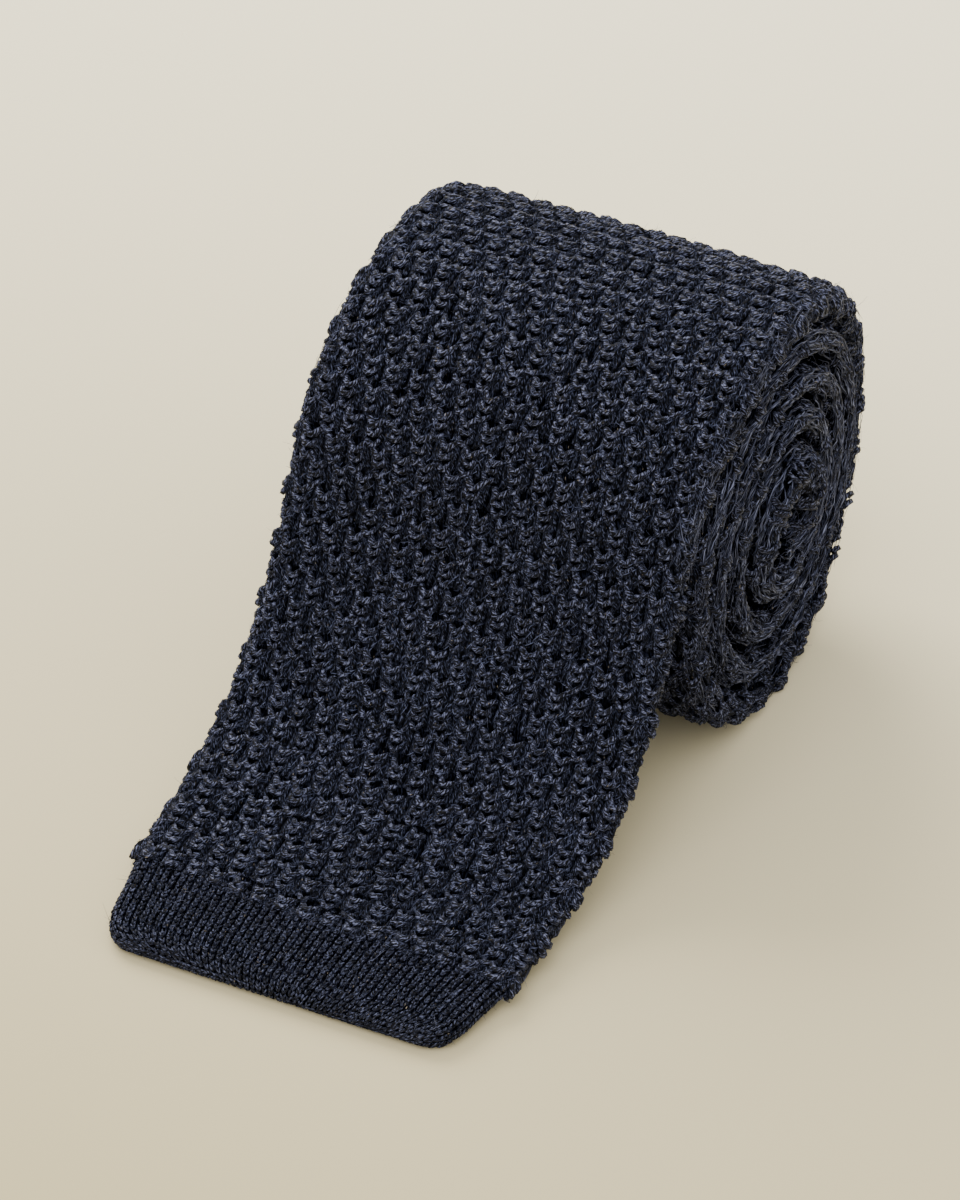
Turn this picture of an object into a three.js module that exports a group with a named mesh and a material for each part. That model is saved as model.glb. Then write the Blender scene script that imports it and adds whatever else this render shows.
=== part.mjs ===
import * as THREE from 'three';

// A slim knitted tie, rolled up on its side with its blade laid out in front.
// The roll's axis runs along X, the blade runs towards -Y and the floor is z = 0.

// Driving sizes, in millimetres unless a name says otherwise
const tieWidth = 60; // fold to fold across the pressed tube
const footWidth = 58; // the same where the patterned tube meets the hem
const footLength = 25; // stretch of the blade over which it widens
const tubeThickness = 4.6; // both knitted layers, at the middle
const foldDrop = 0.35; // how much each face falls away towards the folds
const hemLength = 16.7; // plain band at the free end
const hemThickness = 4.6;
const hemTopWidth = 57.4; // the band where it meets the patterned tube
const hemEndWidth = 51.2; // it narrows to this at the free end
const hemSquash = 0.8; // how far its underside is pressed flat by the floor
const hemSlant = 2; // the free end is this much shorter at its right-hand corner
const hemCornerRadius = 4.2;
const seamGap = 0.3; // between the band and the patterned tube
const bladeReach = 91.8; // roll axis to the free end, measured along the floor
const bladeEndSlopeDeg = 8.2;
const leaveAngleDeg = 70; // top of the roll to where the blade leaves it
const leaveReach = 46; // how strongly the blade keeps the roll's direction
const endReach = 22; // how strongly it keeps the hem's direction
const rollRadius = 34.9; // roll axis to the top of the outer turn
const rollNarrowing = 0.94; // depth of each turn as a share of its height
const backGap = 0.44; // air between one turn and the next at the back, where they lie closest
const floorSquash = 1; // how far the outer turn is pressed flat by the floor
const coreRadius = 3.2; // open middle of the roll
const coreBack = 3; // the middle sits this much further back than the outer turn
const leftTightness = 0.032; // how much lower the left-hand end is rolled
const footSlip = -1.2; // how far the hem and the foot of the blade lie to the right
const footSlipEnd = 50; // length at which the blade is back in line

// How finely the shapes are faceted
const stepsPerTurn = 32;
const bladeSteps = 20;
const finePerStep = 8;

const turnPitch = (tubeThickness + backGap) / (rollNarrowing - coreBack / rollRadius);
const axisHeight = rollRadius - turnPitch / 2 - floorSquash;
const leaveAngle = THREE.MathUtils.degToRad(leaveAngleDeg);
const bladeEndSlope = THREE.MathUtils.degToRad(bladeEndSlopeDeg);

// How far the roll has slipped to the right, in millimetres, at each number of turns from
// where the blade leaves it
const slips = [
  { turns: 0, slip: -0.3 },
  { turns: 0.19, slip: 0.8 },
  { turns: 0.43, slip: -0.9 },
  { turns: 0.7, slip: 0.9 },
  { turns: 1.1, slip: 0.1 },
  { turns: 2.5, slip: 0.5 },
  { turns: 4, slip: 1.1 },
];

// Section across the tube: places between the folds, as shares of the flat width
const acrossShares = [-1, -0.6, 0, 0.6, 1];
// Points round each fold, as angles from the upper face, in degrees
const foldAngles = [45, 90, 135];

// Outer face of the roll. The angle is counted from the top, positive towards the blade.
function rollPoint(angle) {
  const radius = rollRadius + (turnPitch * angle) / (2 * Math.PI);
  const inward = 1 - radius / rollRadius;
  const y = coreBack * inward - rollNarrowing * radius * Math.sin(angle);
  return new THREE.Vector2(y, axisHeight + radius * Math.cos(angle));
}

function innermostAngle() {
  const innerRadius = coreRadius + tubeThickness;
  return ((innerRadius - rollRadius) / turnPitch) * 2 * Math.PI;
}

// Upper face of the free blade, from the hem's end up to the roll
function bladeCurve() {
  const leave = rollPoint(leaveAngle);
  const leaveDirection = rollPoint(leaveAngle + 0.01).sub(leave).normalize();
  const end = new THREE.Vector2(-bladeReach, hemThickness - hemSquash);
  const back = new THREE.Vector2(Math.cos(bladeEndSlope), Math.sin(bladeEndSlope));
  return new THREE.CubicBezierCurve(
    end,
    end.clone().addScaledVector(back, endReach),
    leave.clone().addScaledVector(leaveDirection, leaveReach),
    leave,
  );
}

// The whole outer face as one fine line of points with its length so far and its normal
function outerLine() {
  const bladeCount = bladeSteps * finePerStep;
  const points = bladeCurve().getSpacedPoints(bladeCount);
  const turned = leaveAngle - innermostAngle();
  const count = Math.round((turned / (2 * Math.PI)) * stepsPerTurn) * finePerStep;
  for (let i = 1; i <= count; i += 1) points.push(rollPoint(leaveAngle - (turned * i) / count));
  let length = 0;
  return points.map((point, i) => {
    const before = points[Math.max(i - 1, 0)];
    const after = points[Math.min(i + 1, points.length - 1)];
    const along = after.clone().sub(before).normalize();
    if (i > 0) length += point.distanceTo(before);
    const turns = ((turned / (2 * Math.PI)) * Math.max(i - bladeCount, 0)) / count;
    return { point, length, turns, outward: new THREE.Vector2(-along.y, along.x) };
  });
}

const line = outerLine();
const totalLength = line[line.length - 1].length;
const bladeLength = line[bladeSteps * finePerStep].length;

// Point and outward direction of the outer face at one length from the free end
function station(length) {
  const next = Math.max(line.findIndex((entry) => entry.length >= length), 1);
  const low = line[next - 1];
  const high = line[next];
  const share = (length - low.length) / (high.length - low.length);
  return {
    point: low.point.clone().lerp(high.point, share),
    outward: low.outward.clone().lerp(high.outward, share).normalize(),
    turns: THREE.MathUtils.lerp(low.turns, high.turns, share),
    length,
  };
}

// Sideways slip at one length: the blade's, or eased from row to row of the table
function slipAt(place) {
  if (place.turns === 0) {
    const back = THREE.MathUtils.smoothstep(place.length, hemLength, footSlipEnd);
    return THREE.MathUtils.lerp(footSlip, slips[0].slip, back);
  }
  const next = slips.findIndex((row) => row.turns >= place.turns);
  if (next < 0) return slips[slips.length - 1].slip;
  const low = slips[next - 1];
  const high = slips[next];
  const share = THREE.MathUtils.smoothstep(place.turns, low.turns, high.turns);
  return THREE.MathUtils.lerp(low.slip, high.slip, share);
}

// A point of the tube: x across, depth below the outer face
function placed(place, across, depth, halfWidth) {
  const slant = hemSlant * (across / hemEndWidth) * Math.max(1 - place.length / hemLength, 0);
  const y = place.point.x - place.outward.x * depth + slant;
  const z = place.point.y - place.outward.y * depth;
  const leftShare = 0.5 - across / (2 * halfWidth);
  const lowered = Math.max(z, 0) * (1 - leftTightness * leftShare);
  return new THREE.Vector3(across + slipAt(place), y, lowered);
}

// One closed section of the pressed tube, from its left fold over the upper face and back
function section(length, halfWidth, thickness, cover = 0) {
  const place = station(length);
  const foldRadius = thickness / 2 - foldDrop;
  const flat = halfWidth - foldRadius;
  const faceDepth = (share) => cover + foldDrop * share * share;
  const rows = [];
  acrossShares.forEach((share) => rows.push([share * flat, faceDepth(share)]));
  foldAngles.forEach((degrees) => {
    const turn = THREE.MathUtils.degToRad(degrees);
    rows.push([flat + foldRadius * Math.sin(turn), cover + thickness / 2 - foldRadius * Math.cos(turn)]);
  });
  [...acrossShares].reverse().forEach((share) => {
    rows.push([share * flat, 2 * cover + thickness - faceDepth(share)]);
  });
  [...foldAngles].reverse().forEach((degrees) => {
    const turn = THREE.MathUtils.degToRad(degrees);
    rows.push([-flat - foldRadius * Math.sin(turn), cover + thickness / 2 - foldRadius * Math.cos(turn)]);
  });
  return rows.map(([across, depth]) => placed(place, across, depth, halfWidth));
}

// Skin through a row of sections, closed at both ends
function loft(sections) {
  const count = sections[0].length;
  const positions = sections.flat().flatMap((point) => point.toArray());
  const indices = [];
  for (let i = 0; i + 1 < sections.length; i += 1) {
    for (let j = 0; j < count; j += 1) {
      const a = i * count + j;
      const b = i * count + ((j + 1) % count);
      indices.push(a, b, b + count, a, b + count, a + count);
    }
  }
  [0, sections.length - 1].forEach((row) => {
    const centre = sections[row].reduce((sum, point) => sum.add(point), new THREE.Vector3());
    const middle = positions.length / 3;
    positions.push(...centre.divideScalar(count).toArray());
    for (let j = 0; j < count; j += 1) {
      const a = row * count + j;
      const b = row * count + ((j + 1) % count);
      indices.push(...(row === 0 ? [middle, b, a] : [middle, a, b]));
    }
  });
  const geometry = new THREE.BufferGeometry();
  geometry.setAttribute('position', new THREE.Float32BufferAttribute(positions, 3));
  geometry.setIndex(indices);
  geometry.computeVertexNormals();
  return geometry;
}

// Patterned tube: the blade beyond the hem, and every turn of the roll
function knitTube() {
  const start = hemLength + seamGap;
  const lengths = [];
  for (let i = 0; i < bladeSteps; i += 1) lengths.push(start + ((bladeLength - start) * i) / bladeSteps);
  for (let i = bladeSteps * finePerStep; i < line.length; i += finePerStep) lengths.push(line[i].length);
  const sections = lengths.map((length) => {
    const widened = THREE.MathUtils.smoothstep(length, start, start + footLength);
    return section(length, THREE.MathUtils.lerp(footWidth, tieWidth, widened) / 2, tubeThickness);
  });
  // the hidden inner end is drawn in a little, so that it closes softly
  const endCover = tubeThickness / 4;
  const endHalfWidth = tieWidth / 2 - endCover;
  const endLength = totalLength - 0.01;
  sections[sections.length - 1] = section(endLength, endHalfWidth, tubeThickness - 2 * endCover, endCover);
  return loft(sections);
}

// Plain band: narrows towards the free end, with round corners and a round edge
function hemBand() {
  // rows: share of the band's length, from the free end
  const rounding = [0, 0.02, 0.06, 0.13, 0.22, 0.32];
  const plain = [0.5, 0.7, 0.85, 1];
  const sections = [...rounding, ...plain].map((share) => {
    const length = share * hemLength;
    const halfWidth = THREE.MathUtils.lerp(hemEndWidth, hemTopWidth, share) / 2;
    const corner = Math.max(hemCornerRadius - length, 0);
    const cut = hemCornerRadius - Math.sqrt(hemCornerRadius ** 2 - corner ** 2);
    const edge = Math.max(hemThickness / 2 - length, 0);
    const openness = Math.sqrt(Math.max(1 - (edge / (hemThickness / 2)) ** 2, 0));
    const thickness = hemThickness * Math.max(openness, 0.3);
    return section(length, halfWidth - cut, thickness, (hemThickness - thickness) / 2);
  });
  return loft(sections);
}

const knitWool = new THREE.MeshStandardMaterial({ color: 0x21232e, roughness: 0.95, metalness: 0 });
const bandWool = new THREE.MeshStandardMaterial({ color: 0x20222d, roughness: 0.95, metalness: 0 });

const tube = new THREE.Mesh(knitTube(), knitWool);
tube.name = 'knit_tube';
const band = new THREE.Mesh(hemBand(), bandWool);
band.name = 'hem_band';

const tie = new THREE.Group();
tie.add(tube, band);

// the origin is on the floor, under the middle of the whole outline
const box = new THREE.Box3().setFromObject(tie);
const middle = box.getCenter(new THREE.Vector3());
tie.position.set(-middle.x, -middle.y, 0);

export default tie;
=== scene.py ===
import math

import bpy
import numpy as np
from mathutils import Matrix, Vector


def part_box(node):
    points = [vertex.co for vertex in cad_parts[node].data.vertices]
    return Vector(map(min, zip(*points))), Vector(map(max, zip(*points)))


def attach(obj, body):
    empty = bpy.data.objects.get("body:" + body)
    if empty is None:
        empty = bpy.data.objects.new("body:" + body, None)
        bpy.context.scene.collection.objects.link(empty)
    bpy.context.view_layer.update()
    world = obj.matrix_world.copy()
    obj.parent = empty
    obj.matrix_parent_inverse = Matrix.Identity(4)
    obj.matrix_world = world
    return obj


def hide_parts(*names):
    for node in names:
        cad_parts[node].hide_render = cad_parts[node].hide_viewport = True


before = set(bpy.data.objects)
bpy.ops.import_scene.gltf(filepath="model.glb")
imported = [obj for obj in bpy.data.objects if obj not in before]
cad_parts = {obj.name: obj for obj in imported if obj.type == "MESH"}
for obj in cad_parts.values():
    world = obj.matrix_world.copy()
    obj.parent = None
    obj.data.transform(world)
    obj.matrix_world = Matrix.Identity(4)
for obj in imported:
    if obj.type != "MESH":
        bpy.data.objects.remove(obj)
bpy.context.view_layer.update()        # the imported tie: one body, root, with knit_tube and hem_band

rng = np.random.default_rng(11)
mm = 0.001


# Small helpers

def toLinear(hexColour):
    channels = [int(hexColour[i:i + 2], 16) / 255 for i in (1, 3, 5)]
    return [c / 12.92 if c <= 0.04045 else ((c + 0.055) / 1.055) ** 2.4 for c in channels] + [1.0]


def addNode(tree, kind, settings=None, values=None, links=None):
    # one node with its settings, its socket values and the sockets that feed it
    node = tree.nodes.new(kind)
    for name, value in (settings or {}).items():
        setattr(node, name, value)
    for name, value in (values or {}).items():
        node.inputs[name].default_value = value
    for name, source in (links or {}).items():
        tree.links.new(source, node.inputs[name])
    return node


def smoothStep(x, low, high):
    t = np.clip((x - low) / (high - low), 0, 1)
    return t * t * (3 - 2 * t)


def jitter(amount, *shape):
    return rng.normal(0, amount, shape)


def unit(vectors):
    return vectors / (np.linalg.norm(vectors, axis=-1, keepdims=True) + 1e-9)


# The camera, at the photograph's angle

view = {
    "azimuth": 26.12,      # degrees round to the right-hand end of the roll
    "elevation": 38.63,
    "roll": 1.2,
    "distance": 928.0,     # mm
    "aim": (-0.6, 0.66, 25.0),
    "aside": (-0.6, 0.7),  # how far the frame's middle stands right and up of the aim
    "lens": 201.0,
    "sensor": 36.0,
}


def makeCamera(v):
    a, e, r = (math.radians(v[k]) for k in ("azimuth", "elevation", "roll"))
    back = Vector((math.sin(a) * math.cos(e), -math.cos(a) * math.cos(e), math.sin(e)))
    right = Vector((math.cos(a), math.sin(a), 0))
    up = back.cross(right)
    right, up = right * math.cos(r) + up * math.sin(r), up * math.cos(r) - right * math.sin(r)
    data = bpy.data.cameras.new("camera")
    data.lens, data.sensor_width = v["lens"], v["sensor"]
    data.clip_start, data.clip_end = 0.05, 20
    camera = bpy.data.objects.new("camera", data)
    bpy.context.collection.objects.link(camera)
    stand = Vector(v["aim"]) + right * v["aside"][0] + up * v["aside"][1] + back * v["distance"]
    turn = Matrix((right, up, back)).transposed().to_4x4()
    camera.matrix_world = Matrix.Translation(stand * mm) @ turn
    bpy.context.scene.camera = camera


makeCamera(view)
print("camera placed")


# The tie's form: the same sizes as its solid, in millimetres

tie = {
    "width": 60.0, "footWidth": 58.0, "footLength": 25.0,
    "thickness": 4.6, "foldDrop": 0.35,
    "hemLength": 16.7, "hemThickness": 4.6, "hemTopWidth": 57.4, "hemEndWidth": 51.2,
    "hemSquash": 0.8, "hemSlant": 2.0, "hemCorner": 4.2, "seamGap": 0.3,
    "bladeReach": 91.8, "bladeEndSlope": 8.2, "leaveAngle": 70.0, "leaveReach": 46.0, "endReach": 22.0,
    "rollRadius": 34.9, "narrowing": 0.94, "backGap": 0.44, "floorSquash": 1.0,
    "coreRadius": 3.2, "coreBack": 3.0, "leftTightness": 0.032, "footSlip": -1.2, "footSlipEnd": 50.0,
    "slipTurns": (0, 0.19, 0.43, 0.7, 1.1, 2.5, 4),
    "slips": (-0.3, 0.8, -0.9, 0.9, 0.1, 0.5, 1.1),
}
floorSoftness = 0.05       # mm2, how gently the skin meets the floor
skinRest = 0.15            # mm that the skin keeps above the floor
noFloor = -9.0             # mm, a rest so low that nothing is pressed
fibreRest = 0.08           # mm that a single fibre keeps above the floor

turnPitch = (tie["thickness"] + tie["backGap"]) / (tie["narrowing"] - tie["coreBack"] / tie["rollRadius"])


def rollPoint(angle):
    radius = tie["rollRadius"] + turnPitch * angle / (2 * math.pi)
    axisHeight = tie["rollRadius"] - turnPitch / 2 - tie["floorSquash"]
    y = tie["coreBack"] * (1 - radius / tie["rollRadius"]) - tie["narrowing"] * radius * np.sin(angle)
    return np.stack([y, axisHeight + radius * np.cos(angle)], -1)


def outerLine(bladePoints=400, turnPoints=360):
    # the outer face seen from the side, from the hem's end up the blade and round to the middle
    leave, slope = math.radians(tie["leaveAngle"]), math.radians(tie["bladeEndSlope"])
    p3 = rollPoint(leave)
    onward = rollPoint(leave + 0.01) - p3
    p2 = p3 + onward / np.linalg.norm(onward) * tie["leaveReach"]
    p0 = np.array([-tie["bladeReach"], tie["hemThickness"] - tie["hemSquash"]])
    p1 = p0 + np.array([math.cos(slope), math.sin(slope)]) * tie["endReach"]
    t = np.linspace(0, 1, bladePoints)[:, None]
    blade = (1 - t) ** 3 * p0 + 3 * (1 - t) ** 2 * t * p1 + 3 * (1 - t) * t * t * p2 + t ** 3 * p3
    inner = (tie["coreRadius"] + tie["thickness"] - tie["rollRadius"]) / turnPitch * 2 * math.pi
    turns = (leave - inner) / (2 * math.pi)
    angles = np.linspace(leave, inner, int(turns * turnPoints))[1:]
    points = np.concatenate([blade, rollPoint(angles)])
    steps = np.linalg.norm(np.diff(points, axis=0), axis=1)
    length = np.concatenate([[0], np.cumsum(steps)])
    heading = unit(np.gradient(points, axis=0))
    turned = np.concatenate([np.zeros(bladePoints), (leave - angles) / (2 * math.pi)])
    return {"y": points[:, 0], "z": points[:, 1], "outY": -heading[:, 1], "outZ": heading[:, 0],
            "s": length, "turns": turned, "bladeLength": length[bladePoints - 1]}


line = outerLine()
totalLength = line["s"][-1]
bladeLength = line["bladeLength"]
seamEnd = tie["hemLength"] + tie["seamGap"]


def along(s, what):
    return np.interp(s, line["s"], line[what])


def slipAt(s):
    # how far the tie has slipped to the right at each length
    turns = along(s, "turns")
    slip = np.full(np.shape(turns), tie["slips"][-1])
    for i in range(len(tie["slips"]) - 1, 0, -1):
        low, high = tie["slipTurns"][i - 1], tie["slipTurns"][i]
        eased = tie["slips"][i - 1] + (tie["slips"][i] - tie["slips"][i - 1]) * smoothStep(turns, low, high)
        slip = np.where(turns < high, eased, slip)
    backInLine = smoothStep(s, tie["hemLength"], tie["footSlipEnd"])
    onBlade = tie["footSlip"] + (tie["slips"][0] - tie["footSlip"]) * backInLine
    return np.where(s < bladeLength, onBlade, slip)


def tubeSection(s):
    # half width and thickness of the patterned tube at each length
    widened = smoothStep(s, seamEnd, seamEnd + tie["footLength"])
    half = (tie["footWidth"] + (tie["width"] - tie["footWidth"]) * widened) / 2
    return half, np.full(np.shape(s), tie["thickness"])


def hemSection(s):
    # the same for the band, with its round corners and its round edge
    share = np.clip(s / tie["hemLength"], 0, 1)
    corner = np.clip(tie["hemCorner"] - s, 0, tie["hemCorner"])
    cut = tie["hemCorner"] - np.sqrt(tie["hemCorner"] ** 2 - corner ** 2)
    edge = np.clip(1 - s / (tie["hemThickness"] / 2), 0, 1)
    thickness = tie["hemThickness"] * np.maximum(np.sqrt(1 - edge ** 2), 0.06)
    half = (tie["hemEndWidth"] + (tie["hemTopWidth"] - tie["hemEndWidth"]) * share) / 2 - cut
    return half, thickness


def place(s, w, h, section, rest=skinRest):
    # s runs along the tie, w is the share of the way round the tube, h the height off its skin
    half, thickness = section(s)
    whole = tie["thickness"] if section is tubeSection else tie["hemThickness"]
    fall = tie["foldDrop"] * (thickness / whole)
    r = np.maximum(thickness / 2 - fall, 0.1)
    flat = half - r
    quarter = math.pi * r / 2
    girth = 4 * flat + 4 * quarter
    g = (w % 1) * girth
    # g = 0 is the middle of the left fold; the outer face comes first
    side = np.where(g > girth / 2, -1.0, 1.0)
    g = np.where(g > girth / 2, girth - g, g)
    onLeft, onRight = g < quarter, g > quarter + 2 * flat
    turn = np.where(onLeft, g / r, np.where(onRight, (girth / 2 - g) / r, math.pi / 2))
    reach = np.where(onLeft, -1.0, 1.0)
    x = np.where(onLeft | onRight, reach * (flat + r * np.cos(turn)), g - quarter - flat)
    nx = np.where(onLeft | onRight, reach * np.cos(turn), 0)
    nz = np.where(onLeft | onRight, np.sin(turn), 1.0)
    drop = fall * np.clip(np.abs(x) / flat, 0, 1) ** 2
    height = np.where(onLeft | onRight, r * np.sin(turn), thickness / 2 - drop)
    x = x + nx * h
    depth = (whole / 2) - side * (height + nz * h)
    return bend(s, x, depth, half, rest)


def bend(s, x, depth, half, rest):
    # from across and depth below the outer face to a point on the laid out and rolled tie
    slant = tie["hemSlant"] * (x / tie["hemEndWidth"]) * np.clip(1 - s / tie["hemLength"], 0, 1)
    y = along(s, "y") - along(s, "outY") * depth + slant
    z = along(s, "z") - along(s, "outZ") * depth
    z = rest + (z - rest + np.sqrt((z - rest) ** 2 + floorSoftness)) / 2
    z = z * (1 - tie["leftTightness"] * np.clip(0.5 - x / (2 * half), 0, 1))
    return np.stack([x + slipAt(s), y, z], -1) + frameShift


def outwardAt(s, w, h, section, step=0.3):
    # the way off the skin, over a step in mm, as if there were no floor
    return unit(place(s, w, h + step, section, noFloor) - place(s, w, h, section, noFloor))


def skinBox():
    s = np.linspace(seamEnd, totalLength, 4000)[:, None]
    skin = place(s, np.linspace(0, 1, 48)[None] + 0 * s, 0, tubeSection)
    return skin.min((0, 1)), skin.max((0, 1))


# the solid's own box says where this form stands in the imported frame
frameShift = np.zeros(3)
low, high = (np.array(corner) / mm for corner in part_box("knit_tube"))
skinLow, skinHigh = skinBox()
frameShift = np.array([(low[0] + high[0] - skinLow[0] - skinHigh[0]) / 2, high[1] - skinHigh[1], 0.0])
print("form worked out: length", round(totalLength, 1), "mm, shift", frameShift.round(2))


# Meshes from arrays

def meshObject(name, verts, quads, caps, uv):
    # quads: (n, 4) corners; caps: a list of (n, k) corners of end faces
    mesh = bpy.data.meshes.new(name)
    corners = np.concatenate([quads.ravel()] + [part.ravel() for part in caps]).astype(np.int32)
    sizes = np.concatenate([np.full(len(part), part.shape[1]) for part in [quads] + caps])
    starts = np.concatenate([[0], np.cumsum(sizes)[:-1]]).astype(np.int32)
    mesh.vertices.add(len(verts))
    mesh.vertices.foreach_set("co", (verts * mm).astype(np.float32).ravel())
    mesh.loops.add(len(corners))
    mesh.loops.foreach_set("vertex_index", corners)
    mesh.polygons.add(len(sizes))
    mesh.polygons.foreach_set("loop_start", starts)
    mesh.polygons.foreach_set("use_smooth", np.ones(len(sizes), dtype=bool))
    mesh.update(calc_edges=True)
    layer = mesh.uv_layers.new(name="yarn")
    layer.uv.foreach_set("vector", uv.astype(np.float32).ravel())
    mesh.validate()
    piece = bpy.data.objects.new(name, mesh)
    bpy.context.collection.objects.link(piece)
    return piece


def sweep(centres, outward, radius, sides):
    # tubes round many strands of equal point count: centres (n, m, 3), radius (n, m)
    n, m, _ = centres.shape
    tangent = unit(np.gradient(centres, axis=1))
    across = unit(np.cross(tangent, outward))
    up = np.cross(across, tangent)
    turn = np.arange(sides) / sides * 2 * math.pi - math.pi / 2
    ring = (across[:, :, None] * np.cos(turn)[None, None, :, None]
            + up[:, :, None] * np.sin(turn)[None, None, :, None])
    verts = centres[:, :, None] + ring * radius[:, :, None, None]
    index = np.arange(n * m * sides).reshape(n, m, sides)
    nxt = np.roll(index, -1, axis=2)
    quads = np.stack([index[:, :-1], nxt[:, :-1], nxt[:, 1:], index[:, 1:]], -1).reshape(-1, 4)
    caps = np.concatenate([index[:, 0, ::-1], index[:, -1]])
    # u is the length along the strand in mm, from a random start, and v the share of the way round it
    steps = np.linalg.norm(np.diff(centres, axis=1), axis=2)
    u = np.concatenate([np.zeros((n, 1)), np.cumsum(steps, axis=1)], 1) + rng.uniform(0, 900, (n, 1))
    v = np.arange(sides + 1) / sides
    uLow, uHigh = u[:, :-1, None] + 0 * v[None, None, :-1], u[:, 1:, None] + 0 * v[None, None, :-1]
    vLow, vHigh = 0 * uLow + v[None, None, :-1], 0 * uLow + v[None, None, 1:]
    quadUv = np.stack([np.stack([uLow, vLow], -1), np.stack([uLow, vHigh], -1),
                       np.stack([uHigh, vHigh], -1), np.stack([uHigh, vLow], -1)], 3).reshape(-1, 2)
    capUv = np.repeat(np.concatenate([u[:, 0], u[:, -1]]), sides)
    capUv = np.stack([capUv, np.tile(v[:-1], 2 * n)], -1)
    return verts.reshape(-1, 3), quads, caps, quadUv, capUv


def joinSweeps(name, parts, deep=0):
    # one piece from many swept strands; the last parts, as many as deep says, take its second material
    verts, quads, caps, quadUv, capUv, start = [], [], [], [], [], 0
    quadDeep, capDeep = [], []
    for number, part in enumerate(parts):
        verts.append(part[0])
        quads.append(part[1] + start)
        caps.append(part[2] + start)
        quadUv.append(part[3])
        capUv.append(part[4])
        isDeep = number >= len(parts) - deep
        quadDeep.append(np.full(len(part[1]), isDeep))
        capDeep.append(np.full(len(part[2]), isDeep))
        start += len(part[0])
    uv = np.concatenate([np.concatenate(quadUv), np.concatenate(capUv)])
    piece = meshObject(name, np.concatenate(verts), np.concatenate(quads), caps, uv)
    slots = np.concatenate(quadDeep + capDeep).astype(np.int32)
    piece.data.polygons.foreach_set("material_index", slots)
    print(name, "triangles", sum(2 * len(q) for q in quads) + sum(len(c) * (c.shape[1] - 2) for c in caps))
    return piece


# The patterned knit: rings that stand proud in alternate columns, a small stitch under each,
# and long held stitches sunk between them

knit = {
    "columns": 34,         # rings round the whole tube in one row
    "firstRow": 16.4,      # mm from the free end to the first row of rings, at the left fold
    "rowStep": 4.12,       # mm from one row of rings to the next
    "seamBelow": 1.2,      # mm from the first row down to the seam
    "droop": 1.1,          # how much lower a row ends at the right fold
    "hang": 0.25,          # how much lower its middle hangs
    "sag": 1.5,            # how much lower still in the first row
    "sagEnd": 40.0,        # length at which the rows hang straight
    # each wave: its height in mm, how fast it goes across and along, and where it starts
    "rowWaves": ((0.16, 3.1, 0.23, 0.0), (0.12, 7.3, -0.31, 1.0)),
    "columnWaves": ((0.16, 5, 0.19), (0.10, 23, 0.47)),
    "foldsWidth": 4.0,     # mm of the tie's width that its two round folds take up
    "yarn": 0.50,          # radius of the yarn, mm
    "yarnTaper": 0.22,     # how much thinner it is where it dips in
    "unevenYarn": 0.05,
    "stand": -0.16,        # height of the rings' lowest centre lines over the skin
    "knob": 0.35,          # how far a ring on a fold is pushed out
    "foldPress": 0.4,      # how much flatter the rings lie at the folds
    "unevenSize": 0.06,
    "lean": 0.17,          # radians
    "shiftAlong": 0.15,    # mm, as are the next three
    "shiftAcross": 0.13,
    "lift": 0.08,
    "wobble": 0.075,
    "rest": 0.625,         # mm from the floor to the centre line of the yarn
}

# One stitch group, in mm: how far its strands reach across, where they start and how far they run along
# the tie, how high they stand and how far their ends dip. Point counts are for fine and plain stitches.
group = {
    "crown": {"reach": 1.16, "foot": 0.02, "rise": 1.28, "height": 0.46, "dip": 0.62},
    "loop": {"wide": 0.80, "tall": 0.76, "open": 112, "foot": -0.34, "height": 0.38, "dip": 0.46},
    "small": {"reach": 0.94, "foot": -3.00, "rise": 1.25, "height": 0.06, "dip": 0.36},
    "legs": {"apart": 0.42, "bow": 0.10, "start": -2.9, "run": 4.0, "height": -0.36, "dip": 0.20},
    "arms": {"apart": 1.30, "bow": -0.30, "start": 1.5, "run": 3.6, "height": -0.24, "dip": 0.18},
    "shares": (1.0, 0.95, 0.95),     # thickness of crown, loop and small stitch
    "ringPoints": (8, 6),
    "smallPoints": (6, 4),
    "heldPoints": (4, 3),
    "ringSides": (5, 4),
    "heldSides": 4,
}

spun = {
    "points": 3,
    "sides": 3,
    "length": (0.7, 1.7),  # mm
    "radius": 0.058,       # a few wool fibres together, drawn as thick as shows in the render
    "wrap": 1.25,          # radians from the yarn's top to where they lie on its sides
    "twist": 1.0,          # radians that they wind round the yarn
    "unevenTwist": 0.5,
    "sunk": 0.96,          # share of the yarn's radius at which they lie
    "stand": (-0.02, 0.05),
    "lift": 0.10,          # how far their ends stand off
}
spunFibres = []


def rowDrop(w, s):
    # rows are not quite straight: they droop to the right and sag in the middle near the band
    u = 1 - 2 * np.abs(1 - 2 * (w % 1))
    hang = knit["sag"] * (1 - smoothStep(s, knit["firstRow"], knit["sagEnd"])) + knit["hang"]
    wave = sum(high * np.sin(a * u + b * s + start) for high, a, b, start in knit["rowWaves"])
    return knit["droop"] * (u + 1) / 2 + hang * (1 - u * u) + wave


def columnSway(w, s):
    return sum(wide * np.sin(b * s + a * w) for wide, a, b in knit["columnWaves"])


def heldStrands(held, t):
    # a pair of long strands, mirrored, that bow apart or together on their way
    bow = np.sin(math.pi * t)
    return [(side * (held["apart"] + held["bow"] * bow), held["start"] - held["run"] * t,
             held["height"] - held["dip"] * bow) for side in (-1, 1)]


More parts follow.
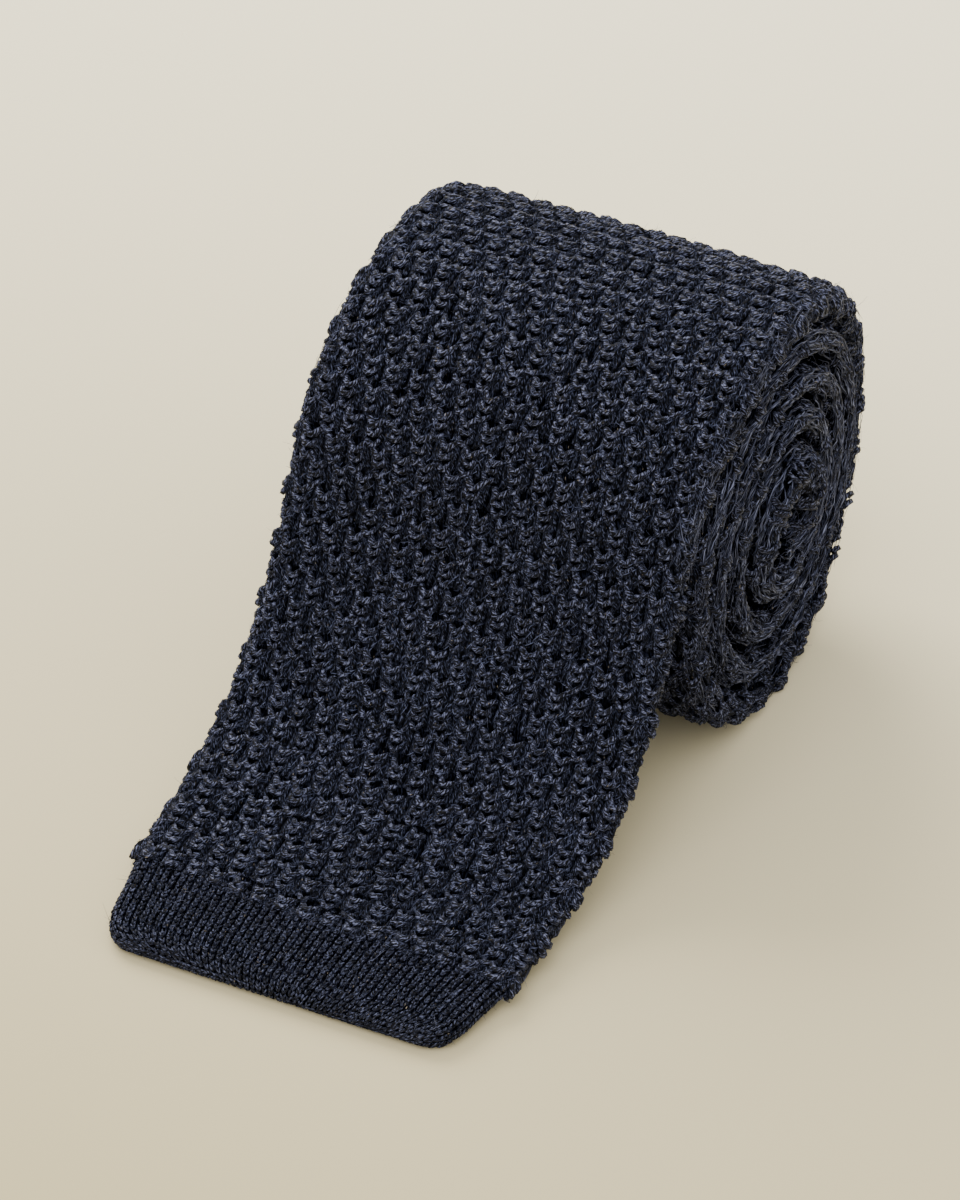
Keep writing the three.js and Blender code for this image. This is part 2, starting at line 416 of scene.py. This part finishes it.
def ringStrands(fine):
    # centre lines of one stitch group: across, along and height; then thickness share and sides
    level = 0 if fine else 1
    crown, loop, small = group["crown"], group["loop"], group["small"]
    t = np.linspace(-1, 1, group["ringPoints"][level])
    a = np.abs(t)
    turn = np.radians(loop["open"] * t)
    lines = [
        (crown["reach"] * np.sign(t) * a ** 0.9, crown["foot"] + crown["rise"] * a ** 1.05,
         crown["height"] - crown["dip"] * a ** 1.8),
        (loop["wide"] * np.sin(turn), loop["foot"] - loop["tall"] * np.cos(turn),
         loop["height"] - loop["dip"] * a ** 2.5),
    ]
    t = np.linspace(-1, 1, group["smallPoints"][level])
    a = np.abs(t)
    lines.append((small["reach"] * t, small["foot"] + small["rise"] * a,
                  small["height"] - small["dip"] * a ** 2))
    t = np.linspace(0, 1, group["heldPoints"][level])
    held = heldStrands(group["legs"], t) + (heldStrands(group["arms"], t) if fine else [])
    strands = [(np.stack(each, -1), share, group["ringSides"][level])
               for each, share in zip(lines, group["shares"])]
    return strands + [(np.stack(each, -1), 1.0, group["heldSides"]) for each in held]


def ringPlaces(sLow, sHigh, wanted):
    # rows between two lengths, and in each the columns whose share of the girth is wanted
    found = []
    for row in range(int((totalLength - knit["firstRow"]) / knit["rowStep"])):
        s = knit["firstRow"] + row * knit["rowStep"]
        if sLow <= s < sHigh:
            shares = [(column + 0.5 * (row % 2)) / knit["columns"] for column in range(knit["columns"])]
            found += [(s, w) for w in shares if wanted(w)]
    return np.array(found)


def seamAt(w):
    return knit["firstRow"] - knit["seamBelow"] - rowDrop(w, knit["firstRow"])


def nearFold(w):
    # 1 at a fold, 0 from about 7 mm away
    return 1 - smoothStep(0.5 - np.abs(0.5 - (2 * w) % 1), 0.02, 0.06)


# How the soft cloth of the hidden turns bulges into the gap towards its neighbour, and into the middle
swell = {
    "outerHidden": (0.98, 1.08),     # turns over which the outer face goes into hiding
    "underHidden": (0.02, 0.12),
    "lastTurn": (1.1, 0.9),          # turns before the inner end
    "middle": 1.9,                   # mm that the last turn bulges into the roll's middle
    "middleBack": 2.2,               # and more, half a turn before the inner end
    "backFrom": (0.1, 0.4),
    "backTo": (0.75, 0.95),
    "stitches": 0.8,                 # how much of it the stitches take up
    "felt": 0.5,
    "ground": 0.9,
    "groundSunk": 0.1,
}


def swellAt(s, w):
    turns = along(s, "turns")
    last = line["turns"][-1]
    side = np.sin(math.radians(tie["leaveAngle"]) - 2 * math.pi * turns)
    spacing = 1 - (1 - tie["narrowing"]) * side ** 2 + tie["coreBack"] / tie["rollRadius"] * side
    gap = turnPitch * spacing - tie["thickness"]
    outer = smoothStep(turns, *swell["outerHidden"])
    under = smoothStep(turns, *swell["underHidden"])
    middle = smoothStep(turns, *(last - turn for turn in swell["lastTurn"]))
    onUnder = smoothStep(np.abs((w % 1) - 0.75), 0.26, 0.24)
    hidden = outer * (1 - onUnder) + under * onUnder
    back = smoothStep(last - turns, *swell["backFrom"]) * (1 - smoothStep(last - turns, *swell["backTo"]))
    inward = swell["middle"] + swell["middleBack"] * back
    return hidden * (gap / 2 * (1 - middle * onUnder) + inward * middle * onUnder), hidden


def fibresOnYarn(centres, outward, radius, count):
    # short fibres that wind round the yarn and stand a little off it
    n, m, _ = centres.shape
    strand = rng.integers(0, n, count)[:, None]
    share = np.linspace(-0.5, 0.5, spun["points"])[None]
    step = np.linalg.norm(np.diff(centres, axis=1), axis=2).mean()
    run = rng.uniform(*spun["length"], (count, 1)) / step
    t = np.clip(rng.uniform(-0.2, m - 0.8, (count, 1)) + run * share, 0, m - 1.001)
    i = t.astype(int)
    f = (t - i)[..., None]
    across = unit(np.cross(np.gradient(centres, axis=1), outward))
    middle, aside, up = ((1 - f) * v[strand, i] + f * v[strand, i + 1] for v in (centres, across, outward))
    turn = rng.uniform(-spun["wrap"], spun["wrap"], (count, 1))
    turn = turn + rng.normal(spun["twist"], spun["unevenTwist"], (count, 1)) * share * 2
    high = radius[strand, i] * spun["sunk"] + rng.uniform(*spun["stand"], (count, 1))
    high = high + spun["lift"] * (2 * share) ** 2
    high = (high + jitter(0.02, *t.shape))[..., None]
    lines = middle + (aside * np.sin(turn)[..., None] + up * np.cos(turn)[..., None]) * high
    lines[..., 2] = np.maximum(lines[..., 2], fibreRest)
    thick = spun["radius"] * rng.uniform(0.6, 1.3, (count, 1)) * (1 - 0.5 * (2 * share) ** 2)
    return sweep(lines, up, thick, spun["sides"])


def knitStitches(name, places, fine=True, sink=0.0, fibres=0):
    # fibres is how many are spun into each stitch group; sink is how deep the whole piece lies
    foldRadius = tie["thickness"] / 2 - tie["foldDrop"]
    girth = 2 * (tie["width"] - knit["foldsWidth"]) + 2 * math.pi * foldRadius
    count = len(places)
    s0, w0 = places[:, :1], places[:, 1:]
    size = 1 + jitter(knit["unevenSize"], count, 1)
    lean = jitter(knit["lean"], count, 1)
    shiftS, shiftW = jitter(knit["shiftAlong"], count, 1), jitter(knit["shiftAcross"], count, 1)
    lift = jitter(knit["lift"], count, 1)
    # a ring right on a fold is pushed out into a knob
    fromFold = np.minimum(w0 % 0.5, 0.5 - w0 % 0.5) * knit["columns"]
    lift = lift + knit["knob"] * (fromFold < 0.3)
    strands = ringStrands(fine)
    parts = []
    for centre, share, sides in strands:
        points = centre.shape[0]
        a, b, c = centre[:, 0][None], centre[:, 1][None], centre[:, 2][None]
        wobble = jitter(knit["wobble"], count, points, 3)
        across = (a * np.cos(lean) - 0.5 * b * np.sin(lean)) * size + wobble[..., 0]
        above = (b + a * np.sin(lean)) * size + wobble[..., 1]
        w = w0 + (across + shiftW + columnSway(w0, s0 + above)) / girth
        s = s0 + above + shiftS - rowDrop(w, s0)
        keep = s.max(1) > seamAt(w.mean(1)) + 0.4
        s = np.clip(s, seamAt(w) - 0.6, totalLength - 0.1)
        raised = c * (1 - knit["foldPress"] * nearFold(w))
        h = knit["stand"] + raised + lift * np.clip(c + 0.6, 0, 1) + wobble[..., 2] - sink
        h = h + swell["stitches"] * swellAt(s, w)[0]
        s, w, h = s[keep], w[keep], h[keep]
        centres = place(s, w, h, tubeSection, knit["rest"])
        outward = outwardAt(s, w, h, tubeSection)
        taper = 1 - knit["yarnTaper"] * np.linspace(-1, 1, points) ** 4
        thick = 1 + jitter(knit["unevenYarn"], len(s), points)
        radius = knit["yarn"] * share * size[keep] * taper[None] * thick
        parts.append(sweep(centres, outward, radius, sides))
        if fibres:
            spunFibres.append(fibresOnYarn(centres, outward, radius, int(len(s) * fibres / len(strands))))
    # the held strands, sunk between the rings, take the second material: the same yarn with painted shade
    return joinSweeps(name, parts, deep=len(parts) - len(group["shares"]))


foldReach = 1.3 / knit["columns"]
# lengths at which the outer turn is covered all round, and at which it is half way round
turnEnd = float(np.interp(1.03, line["turns"], line["s"]))
halfTurn = float(np.interp(0.52, line["turns"], line["s"]))


def onTopFace(w):
    return w < 0.5 + 0.2 / knit["columns"]


def onUnderFace(w):
    return not onTopFace(w)


def onOuterFace(w):
    return w <= 0.5 + foldReach or w >= 1 - foldReach


def onFolds(w):
    return min(w, 1 - w) <= 0.6 * foldReach or abs(w - 0.5) <= 0.6 * foldReach


stitchPieces = [
    knitStitches("bladeStitches", ringPlaces(0, bladeLength, onTopFace), fibres=30),
    knitStitches("bladeUnderStitches", ringPlaces(0, bladeLength, onUnderFace), fine=False),
    knitStitches("rollTopStitches", ringPlaces(bladeLength, halfTurn, onOuterFace), fibres=18),
    knitStitches("rollUnderStitches", ringPlaces(halfTurn, turnEnd, onOuterFace), fine=False),
    knitStitches("innerFoldStitches", ringPlaces(turnEnd, totalLength - 4, onFolds), fine=False, sink=0.44),
]
fineStrands = len(ringStrands(True))
spunPieces = [
    joinSweeps("bladeFibres", spunFibres[:fineStrands]),
    joinSweeps("rollFibres", spunFibres[fineStrands:]),
]
print("patterned knit made")


# The ground behind the stitches: one closed sheet for the tube, one for the hem

def ground(name, s, around, sink, section):
    w = ((np.arange(around) + 0.5) / around)[None] + 0 * s[:, None]
    s = s[:, None] + 0 * w
    height = -sink * (1 - 0.6 * nearFold(w))
    if section is tubeSection:
        bulge, hidden = swellAt(s, w)
        bulge = swell["ground"] * bulge * (1 - 0.5 * nearFold(w)) - swell["groundSunk"]
        height = height * (1 - hidden) + hidden * bulge
    grid = place(s, w, height, section)
    index = np.arange(grid.shape[0] * around).reshape(-1, around)
    nxt = np.roll(index, -1, axis=1)
    quads = np.stack([index[:-1], index[1:], nxt[1:], nxt[:-1]], -1).reshape(-1, 4)
    # each end is closed by strips between the two faces
    ends = []
    for row, step in ((index[0], 1), (index[-1], -1)):
        for j in range(around // 2 - 1):
            ends.append([row[j], row[j + 1], row[around - 2 - j], row[around - 1 - j]][::step])
    quads = np.concatenate([quads, np.array(ends)])
    uv = np.stack([s, w], -1).reshape(-1, 2)
    return meshObject(name, grid.reshape(-1, 3), quads, [], uv[quads.ravel()])


hemEdge = [0.45, 0.8, 1.2, 1.8]      # closer sections, in mm, round the free edge
tubeGround = ground("tubeGround", np.arange(seamEnd, totalLength, 2.2), 56, 0.78, tubeSection)
hemGround = ground("hemGround", np.concatenate([hemEdge, np.arange(2.6, tie["hemLength"], 1.0)]), 56, 0.3,
                   hemSection)


# The plain band: fine columns of nested stitches that also run over the rounded end

hem = {
    "columns": 98,         # stitches round the whole band
    "courseStep": 0.82,    # mm from one course to the next
    "yarn": 0.21,          # radius, mm
    "yarnTaper": 0.25,
    "stand": -0.12,
    "reach": 0.31,         # one stitch, in mm: across, its foot and rise along the band, height and dip
    "foot": -0.40,
    "rise": 0.98,
    "height": 0.08,
    "dip": 0.18,
    "crease": 0.3,         # depth of the groove that the turned end leaves
    "creaseAt": 3.4,
    "creaseWide": 0.6,
    "unevenSize": 0.06,
    "lean": 0.09,
    "shiftAlong": 0.07,    # mm, as are the next three
    "shiftAcross": 0.045,
    "lift": 0.03,
    "wobble": 0.015,
    "points": 6,
    "sides": 4,
}


def roundedLength(arc):
    # length from the free end for a distance measured over the rounded edge
    radius = tie["hemThickness"] / 2
    quarter = math.pi * radius / 2
    overEdge = radius * (1 - np.cos(np.clip(arc, 0, quarter) / radius))
    return np.where(arc < quarter, overEdge, radius + arc - quarter)


def hemStitches(name):
    arcs = np.arange(0.35, tie["hemLength"] + 2.5, hem["courseStep"])
    arc0, w0 = np.meshgrid(arcs, (np.arange(hem["columns"]) + 0.5) / hem["columns"], indexing="ij")
    arc0, w0 = arc0.ravel(), w0.ravel()
    below = roundedLength(arc0) < seamAt(w0) + 0.9
    arc0, w0 = arc0[below][:, None], w0[below][:, None]
    count = len(arc0)
    t = np.linspace(-1, 1, hem["points"])[None]
    a, b = hem["reach"] * t, hem["foot"] + hem["rise"] * np.abs(t) ** 1.1
    c = hem["height"] - hem["dip"] * t ** 2
    half, _ = hemSection(roundedLength(arc0))
    size = 1 + jitter(hem["unevenSize"], count, 1)
    lean = jitter(hem["lean"], count, 1)
    arc = arc0 + (b + lean * a) * size + jitter(hem["shiftAlong"], count, 1)
    s = roundedLength(np.clip(arc, 0.02, None))
    w = w0 + (a * size + jitter(hem["shiftAcross"], count, 1)) / (4 * half)
    crease = hem["crease"] * np.exp(-((s - hem["creaseAt"]) / hem["creaseWide"]) ** 2)
    h = hem["stand"] + c - crease + jitter(hem["lift"], count, 1) + jitter(hem["wobble"], *s.shape)
    centres = place(s, w, h, hemSection, hem["yarn"])
    radius = hem["yarn"] * size * (1 - hem["yarnTaper"] * t ** 4)
    return joinSweeps(name, [sweep(centres, outwardAt(s, w, h, hemSection), radius, hem["sides"])])


bandStitches = hemStitches("bandStitches")
print("band made")


# The folds of the hidden turns: ridges of felted strands that run along each turn

felt = {
    "count": 1250,
    "rightShare": 0.58,    # of them, at the right-hand end
    "spread": 0.0115,      # how far they lie from the fold, as a share of the way round
    "drift": 0.0016,
    "length": (5.0, 13.0),
    "radius": (0.10, 0.30),
    "height": (-0.10, 0.34),
    "endDip": 0.5,
    "wobble": 0.12,
    "points": 7,
    "sides": 4,
    "rest": 0.4,
}


def foldShares(count, rightShare):
    return np.where(rng.uniform(0, 1, count) < rightShare, 0.5, 0.0)


def feltedFolds(name, st):
    count = st["count"]
    share = np.linspace(-1, 1, st["points"])[None]
    run = rng.uniform(*st["length"], (count, 1))
    s = rng.uniform(turnEnd - 8, totalLength - 1, (count, 1)) + run / 2 * share
    s = np.clip(s, seamEnd, totalLength - 0.1)
    drift = np.cumsum(jitter(st["drift"], count, st["points"]), axis=1)
    w = foldShares(count, st["rightShare"])[:, None] + jitter(st["spread"], count, 1) + drift
    h = rng.uniform(*st["height"], (count, 1)) - st["endDip"] * share ** 4 + jitter(st["wobble"], *s.shape)
    h = h + swell["felt"] * swellAt(s, w)[0]
    centres = place(s, w, h, tubeSection, st["rest"])
    radius = rng.uniform(*st["radius"], (count, 1)) * (1 - 0.6 * share ** 2)
    return joinSweeps(name, [sweep(centres, outwardAt(s, w, h, tubeSection), radius, st["sides"])])


feltedRidges = feltedFolds("feltedRidges", felt)


# Loose fibres that stand off the wool, longest where the folds meet the air at the roll's ends

fuzz = {
    "radius": 0.028,       # mm, thicker than the real fibres so that they show in the render
    "laidRadius": 0.046,   # a few fibres felted together
    "points": 4,
    "sides": 3,
    "curl": 0.55,
    "stray": 0.16,
    "sideways": 0.8,
    "onBlade": 650,        # how many, here and below
    "onRoll": 950,
    "onFolds": 1200,
    "laidOnFolds": 3300,
    "onBand": 450,
    "inMiddle": 900,
    "middleLength": 34.0,  # mm of the inner end that they fill the middle from
    "deepShare": 0.35,     # of them, those that stand further in than the folds
    "laidLength": (2.5, 6.5),
    "laidHeight": (-0.3, 0.4),
}


def fibreLines(root, direction, length):
    count, points = len(root), fuzz["points"]
    lines = np.zeros((count, points, 3))
    lines[:, 0] = root
    curl = jitter(fuzz["curl"], count, 3)
    for k in range(1, points):
        direction = unit(direction + np.cross(curl, direction) * 0.5 + jitter(fuzz["stray"], count, 3))
        lines[:, k] = lines[:, k - 1] + direction * (length / (points - 1))[:, None]
    lines[..., 2] = np.maximum(lines[..., 2], fibreRest)
    return lines


def fuzzSweep(s, w, section, length, lift, sideways=fuzz["sideways"]):
    foot = 0.1 + 0 * s
    normal = outwardAt(s, w, foot, section, 0.5)
    direction = unit(normal * lift[:, None] + jitter(1, len(s), 3) * sideways)
    lines = fibreLines(place(s, w, foot, section), direction, length)
    outward = np.repeat(normal[:, None], fuzz["points"], 1)
    taper = np.linspace(1, 0.35, fuzz["points"])
    radius = fuzz["radius"] * rng.uniform(0.6, 1.25, len(s))[:, None] * taper[None]
    return sweep(lines, outward, radius, fuzz["sides"])


def laidSweep(s, w, h, run, section):
    # fibres laid along the tie's own length, following its turns
    count, points = len(s), fuzz["points"]
    share = np.linspace(-0.5, 0.5, points)[None]
    drift = np.cumsum(jitter(1, count, points), axis=1)
    across = w[:, None] + 0.0022 * drift + jitter(0.004, count, 1) * share
    sLine = np.clip(s[:, None] + run[:, None] * share, seamEnd, totalLength - 0.2)
    height = h[:, None] + 0.10 * np.cumsum(jitter(1, count, points), axis=1) + 0.5 * np.abs(share)
    lines = place(sLine, across, height, section, 0.1)
    taper = 1 - 0.6 * (2 * share) ** 2
    radius = fuzz["laidRadius"] * rng.uniform(0.6, 1.4, count)[:, None] * taper
    return sweep(lines, outwardAt(sLine, across, height, section), radius, fuzz["sides"])


def looseFibres(name):
    onBlade, outside, folds = fuzz["onBlade"], fuzz["onBlade"] + fuzz["onRoll"], fuzz["onFolds"]
    laid, band, middle = fuzz["laidOnFolds"], fuzz["onBand"], fuzz["inMiddle"]
    s1 = np.concatenate([rng.uniform(seamEnd, bladeLength, onBlade),
                         rng.uniform(bladeLength, turnEnd, fuzz["onRoll"])])
    w1 = np.where(s1 < bladeLength, rng.uniform(0, 1, outside), rng.uniform(0, 0.5, outside))
    s2 = rng.uniform(seamEnd, totalLength, folds)
    w2 = foldShares(folds, 0.58) + jitter(0.012, folds)
    s3 = rng.uniform(bladeLength, totalLength - 2, laid)
    w3 = foldShares(laid, 0.66) + jitter(0.011, laid)
    s4, w4 = rng.uniform(0.4, tie["hemLength"], band), rng.uniform(0, 1, band)
    s5 = rng.uniform(totalLength - fuzz["middleLength"], totalLength - 0.5, middle)
    deepIn = rng.uniform(0, 1, middle) < fuzz["deepShare"]
    reach = rng.uniform(0, 1, middle) * np.where(deepIn, 0.25, 0.05)
    w5 = foldShares(middle, 0.55) + rng.choice((-1, 1), middle) * reach
    # those in the middle all stand on the under face
    w5 = np.where(np.abs(w5 - 0.5) < 0.251, 0.5 + np.abs(w5 - 0.5), 1 - np.abs(w5))
    parts = [
        fuzzSweep(s1, w1, tubeSection, rng.gamma(4, 0.28, outside), rng.uniform(0.1, 0.7, outside)),
        fuzzSweep(s2, w2, tubeSection, rng.gamma(4, 0.36, folds), rng.uniform(0.1, 0.7, folds)),
        fuzzSweep(s5, w5, tubeSection, rng.uniform(1.5, 4.5, middle), rng.uniform(0.5, 1, middle), 0.7),
        laidSweep(s3, w3, rng.uniform(*fuzz["laidHeight"], laid), rng.uniform(*fuzz["laidLength"], laid),
                  tubeSection),
        fuzzSweep(s4, w4, hemSection, rng.gamma(4, 0.3, band), rng.uniform(0.2, 0.8, band)),
    ]
    return joinSweeps(name, parts)


looseWool = looseFibres("looseWool")
print("folds and loose fibres made")


# Materials. All are melange wool, carded from black, dark navy and blue-grey fibres: dull, streaked along
# the yarn, with a soft bloom at grazing angles. The girth is the yarn's, in mm, and the twist that of its
# fibres, in radians; cells are the streaks in each mm along and across them, coarser than real fibres of
# 0.03 mm so that they show. The stops go from the gaps between fibres, near black as painted shade, to the
# palest of them.

woolShader = {"Roughness": 0.62, "Sheen Roughness": 0.4}
sheenTint = "#9aa6c8"
paleFibre = "#7d7466"      # one here and there
paleFrom, paleTo = 0.73, 0.79

# the yarn of the rings, twisted, so its streaks slant across each ring
yarnLook = {"name": "melange wool yarn, spun", "girth": 3.1, "twist": -0.85, "cells": (1.5, 5.2, 1.0),
            "stops": [(0.435, "#010103"), (0.50, "#0f1119"), (0.56, "#31354a"), (0.65, "#5f647d")],
            "bump": 0.00022, "specular": 0.10, "sheen": 0.04}
# the same yarn where it runs in the gaps, with painted shade: darker, duller stops, as little light reaches
# it there
shadedYarnLook = {"name": "melange wool yarn, sunk in the knit", "girth": 3.1, "twist": -0.7,
            "cells": (1.3, 4.6, 1.0),
            "stops": [(0.42, "#010103"), (0.515, "#0d0f16"), (0.59, "#292d40"), (0.68, "#4c5268")],
            "bump": 0.0002, "specular": 0.05, "sheen": 0.02}
# the band's thinner yarn, with shorter streaks
bandLook = {"name": "melange wool yarn, finer", "girth": 1.4, "twist": -0.6, "cells": (1.2, 4.6, 1.0),
            "stops": [(0.39, "#020206"), (0.48, "#0f1119"), (0.57, "#2c3043"), (0.68, "#50556c")],
            "bump": 0.00010, "specular": 0.10, "sheen": 0.04}
# single fibres: each has one tone for most of its length
fibreLook = {"name": "wool fibre", "girth": 1.0, "twist": 0.0, "cells": (0.15, 2.0, 1.0),
             "stops": [(0.30, "#10121b"), (0.50, "#3c4056"), (0.68, "#787d94")],
             "bump": 0.00001, "specular": 0.10, "sheen": 0.04}
spunLook = {"name": "wool fibre, spun into the yarn", "girth": 1.0, "twist": 0.0, "cells": (0.2, 1.0, 1.0),
            "stops": [(0.38, "#020204"), (0.48, "#151721"), (0.56, "#363b53"), (0.66, "#5d6480")],
            "bump": 0.00001, "specular": 0.10, "sheen": 0.04}
# strands rubbed into felt: their streaks lie straight along them
feltLook = {"name": "melange wool, felted at the folds", "girth": 1.6, "twist": 0.12,
            "cells": (0.45, 5.0, 1.0),
            "stops": [(0.38, "#020204"), (0.47, "#151720"), (0.56, "#40455d"), (0.68, "#777d97")],
            "bump": 0.00012, "specular": 0.06, "sheen": 0.04}
# the closed back of the knit, seen only through the holes, painted nearly black as the shade deep between
# the stitches; its girth is the whole tube's
shadedGroundLook = {"name": "melange wool, back of the knit", "girth": 126.0, "twist": 0.3,
              "cells": (1.0, 3.6, 1.0),
              "stops": [(0.44, "#010102"), (0.55, "#08090f"), (0.66, "#1a1d2a")],
              "bump": 0.0003, "specular": 0.0, "sheen": 0.0}


def fibreColour(tree, vector, look):
    # streaks of dark and light fibre, with painted shade in the gaps between them, that wind round the
    # yarn, with here and there a pale one
    turned = addNode(tree, "ShaderNodeMapping",
                     values={"Scale": (1.0, look["girth"], 1.0), "Rotation": (0, 0, look["twist"])},
                     links={"Vector": vector})
    stretched = addNode(tree, "ShaderNodeMapping", values={"Scale": look["cells"]},
                        links={"Vector": turned.outputs["Vector"]})
    fibre = addNode(tree, "ShaderNodeTexNoise", values={"Scale": 1.0, "Detail": 1.5, "Roughness": 0.5},
                    links={"Vector": stretched.outputs["Vector"]})
    tone = addNode(tree, "ShaderNodeValToRGB", links={"Fac": fibre.outputs["Fac"]})
    stops, ramp = look["stops"], tone.color_ramp
    ramp.elements[0].position, ramp.elements[0].color = stops[0][0], toLinear(stops[0][1])
    ramp.elements[1].position, ramp.elements[1].color = stops[-1][0], toLinear(stops[-1][1])
    for position, colour in stops[1:-1]:
        ramp.elements.new(position).color = toLinear(colour)
    # the pale fibres are taken from another part of the same pattern
    offset = addNode(tree, "ShaderNodeVectorMath", {"operation": "ADD"}, {1: (71.3, 9.7, 0)},
                     {0: stretched.outputs["Vector"]})
    speck = addNode(tree, "ShaderNodeTexNoise", values={"Scale": 0.9, "Detail": 1.0},
                    links={"Vector": offset.outputs["Vector"]})
    rare = addNode(tree, "ShaderNodeMapRange", values={"From Min": paleFrom, "From Max": paleTo},
                   links={"Value": speck.outputs["Fac"]})
    mixed = addNode(tree, "ShaderNodeMix", {"data_type": "RGBA"}, {7: toLinear(paleFibre)},
                    {0: rare.outputs["Result"], 6: tone.outputs["Color"]})
    return mixed.outputs[2], fibre.outputs["Fac"]


def wool(look):
    material = bpy.data.materials.new(look["name"])
    material.use_nodes = True
    tree = material.node_tree
    shader = tree.nodes["Principled BSDF"]
    for name, value in woolShader.items():
        shader.inputs[name].default_value = value
    shader.inputs["Specular IOR Level"].default_value = look["specular"]
    shader.inputs["Sheen Weight"].default_value = look["sheen"]
    shader.inputs["Sheen Tint"].default_value = toLinear(sheenTint)
    uv = addNode(tree, "ShaderNodeUVMap", {"uv_map": "yarn"})
    colour, height = fibreColour(tree, uv.outputs["UV"], look)
    tree.links.new(colour, shader.inputs["Base Color"])
    bump = addNode(tree, "ShaderNodeBump", values={"Strength": 1.0, "Distance": look["bump"]},
                   links={"Height": height})
    tree.links.new(bump.outputs["Normal"], shader.inputs["Normal"])
    return material


yarnWool, shadedYarnWool, bandWool, fibreWool, spunWool, feltWool, shadedGroundWool = (
    wool(look) for look in (yarnLook, shadedYarnLook, bandLook, fibreLook, spunLook, feltLook, shadedGroundLook))
# each stitch piece takes the yarn, then the same yarn with painted shade for the held strands sunk between
# the rings
for piece in stitchPieces:
    piece.data.materials.append(yarnWool)
    piece.data.materials.append(shadedYarnWool)
for piece in spunPieces:
    piece.data.materials.append(spunWool)
# the sheet behind the stitches carries painted shade, nearly black
for piece in (tubeGround, hemGround):
    piece.data.materials.append(shadedGroundWool)
bandStitches.data.materials.append(bandWool)
looseWool.data.materials.append(fibreWool)
feltedRidges.data.materials.append(feltWool)
print("materials made")


# Floor, light and surroundings

studio = {
    # the paper's colour is painted light and shade: brighter at the back, darker towards the front where
    # the light falls off
    "litFloorBack": "#ede6cb",      # towards the back of the picture
    "shadedFloorFront": "#b0a47b",     # towards the front
    "frontY": -0.22,             # m, where the paper is as dark as it gets
    "backY": 0.30,
    "floorSize": 6.0,
    "world": 1.5,
    "worldColour": "#fdf9f2",
    "key": {"place": (-0.56, 0.43, 0.61), "size": 0.7, "power": 12.6, "colour": "#fffaf0"},
    "fill": {"place": (0.05, -0.85, 1.5), "size": 1.4, "power": 17.0, "colour": "#fbfaff"},
}


def makeFloor(st):
    bpy.ops.object.select_all(action="DESELECT")
    bpy.ops.mesh.primitive_plane_add(size=st["floorSize"], location=(0, 0, 0))
    floor = bpy.context.object
    floor.name = "floor"
    # matt paper, uncoated: no gloss; its colour darkens towards the front as painted shade, where the light
    # falls off
    material = bpy.data.materials.new("matt paper sweep")
    material.use_nodes = True
    tree = material.node_tree
    shader = tree.nodes["Principled BSDF"]
    shader.inputs["Roughness"].default_value = 0.9
    shader.inputs["Specular IOR Level"].default_value = 0.1
    coordinates = addNode(tree, "ShaderNodeTexCoord")
    parts = addNode(tree, "ShaderNodeSeparateXYZ", links={"Vector": coordinates.outputs["Object"]})
    depth = addNode(tree, "ShaderNodeMapRange", {"interpolation_type": "SMOOTHSTEP"},
                    {"From Min": st["frontY"], "From Max": st["backY"]}, {"Value": parts.outputs["Y"]})
    paper = addNode(tree, "ShaderNodeMix", {"data_type": "RGBA"},
                    {6: toLinear(st["shadedFloorFront"]), 7: toLinear(st["litFloorBack"])},
                    {0: depth.outputs["Result"]})
    tree.links.new(paper.outputs[2], shader.inputs["Base Color"])
    floor.data.materials.append(material)


def makeLight(name, light):
    data = bpy.data.lights.new(name, "AREA")
    data.shape, data.size, data.energy = "DISK", light["size"], light["power"]
    data.color = toLinear(light["colour"])[:3]
    lamp = bpy.data.objects.new(name, data)
    bpy.context.collection.objects.link(lamp)
    lamp.location = light["place"]
    lamp.rotation_mode = "QUATERNION"
    lamp.rotation_quaternion = (-Vector(light["place"])).to_track_quat("-Z", "Y")


makeFloor(studio)
makeLight("key", studio["key"])
makeLight("fill", studio["fill"])
world = bpy.data.worlds[0] if bpy.data.worlds else bpy.data.worlds.new("studio")
bpy.context.scene.world = world
world.use_nodes = True
background = world.node_tree.nodes["Background"]
background.inputs["Color"].default_value = toLinear(studio["worldColour"])
background.inputs["Strength"].default_value = studio["world"]
print("studio set up")


# What each piece stands for

tubePieces = stitchPieces + spunPieces + [looseWool, feltedRidges]
for piece in tubePieces + [bandStitches, tubeGround, hemGround]:
    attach(piece, "root")
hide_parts("knit_tube")
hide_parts("hem_band")
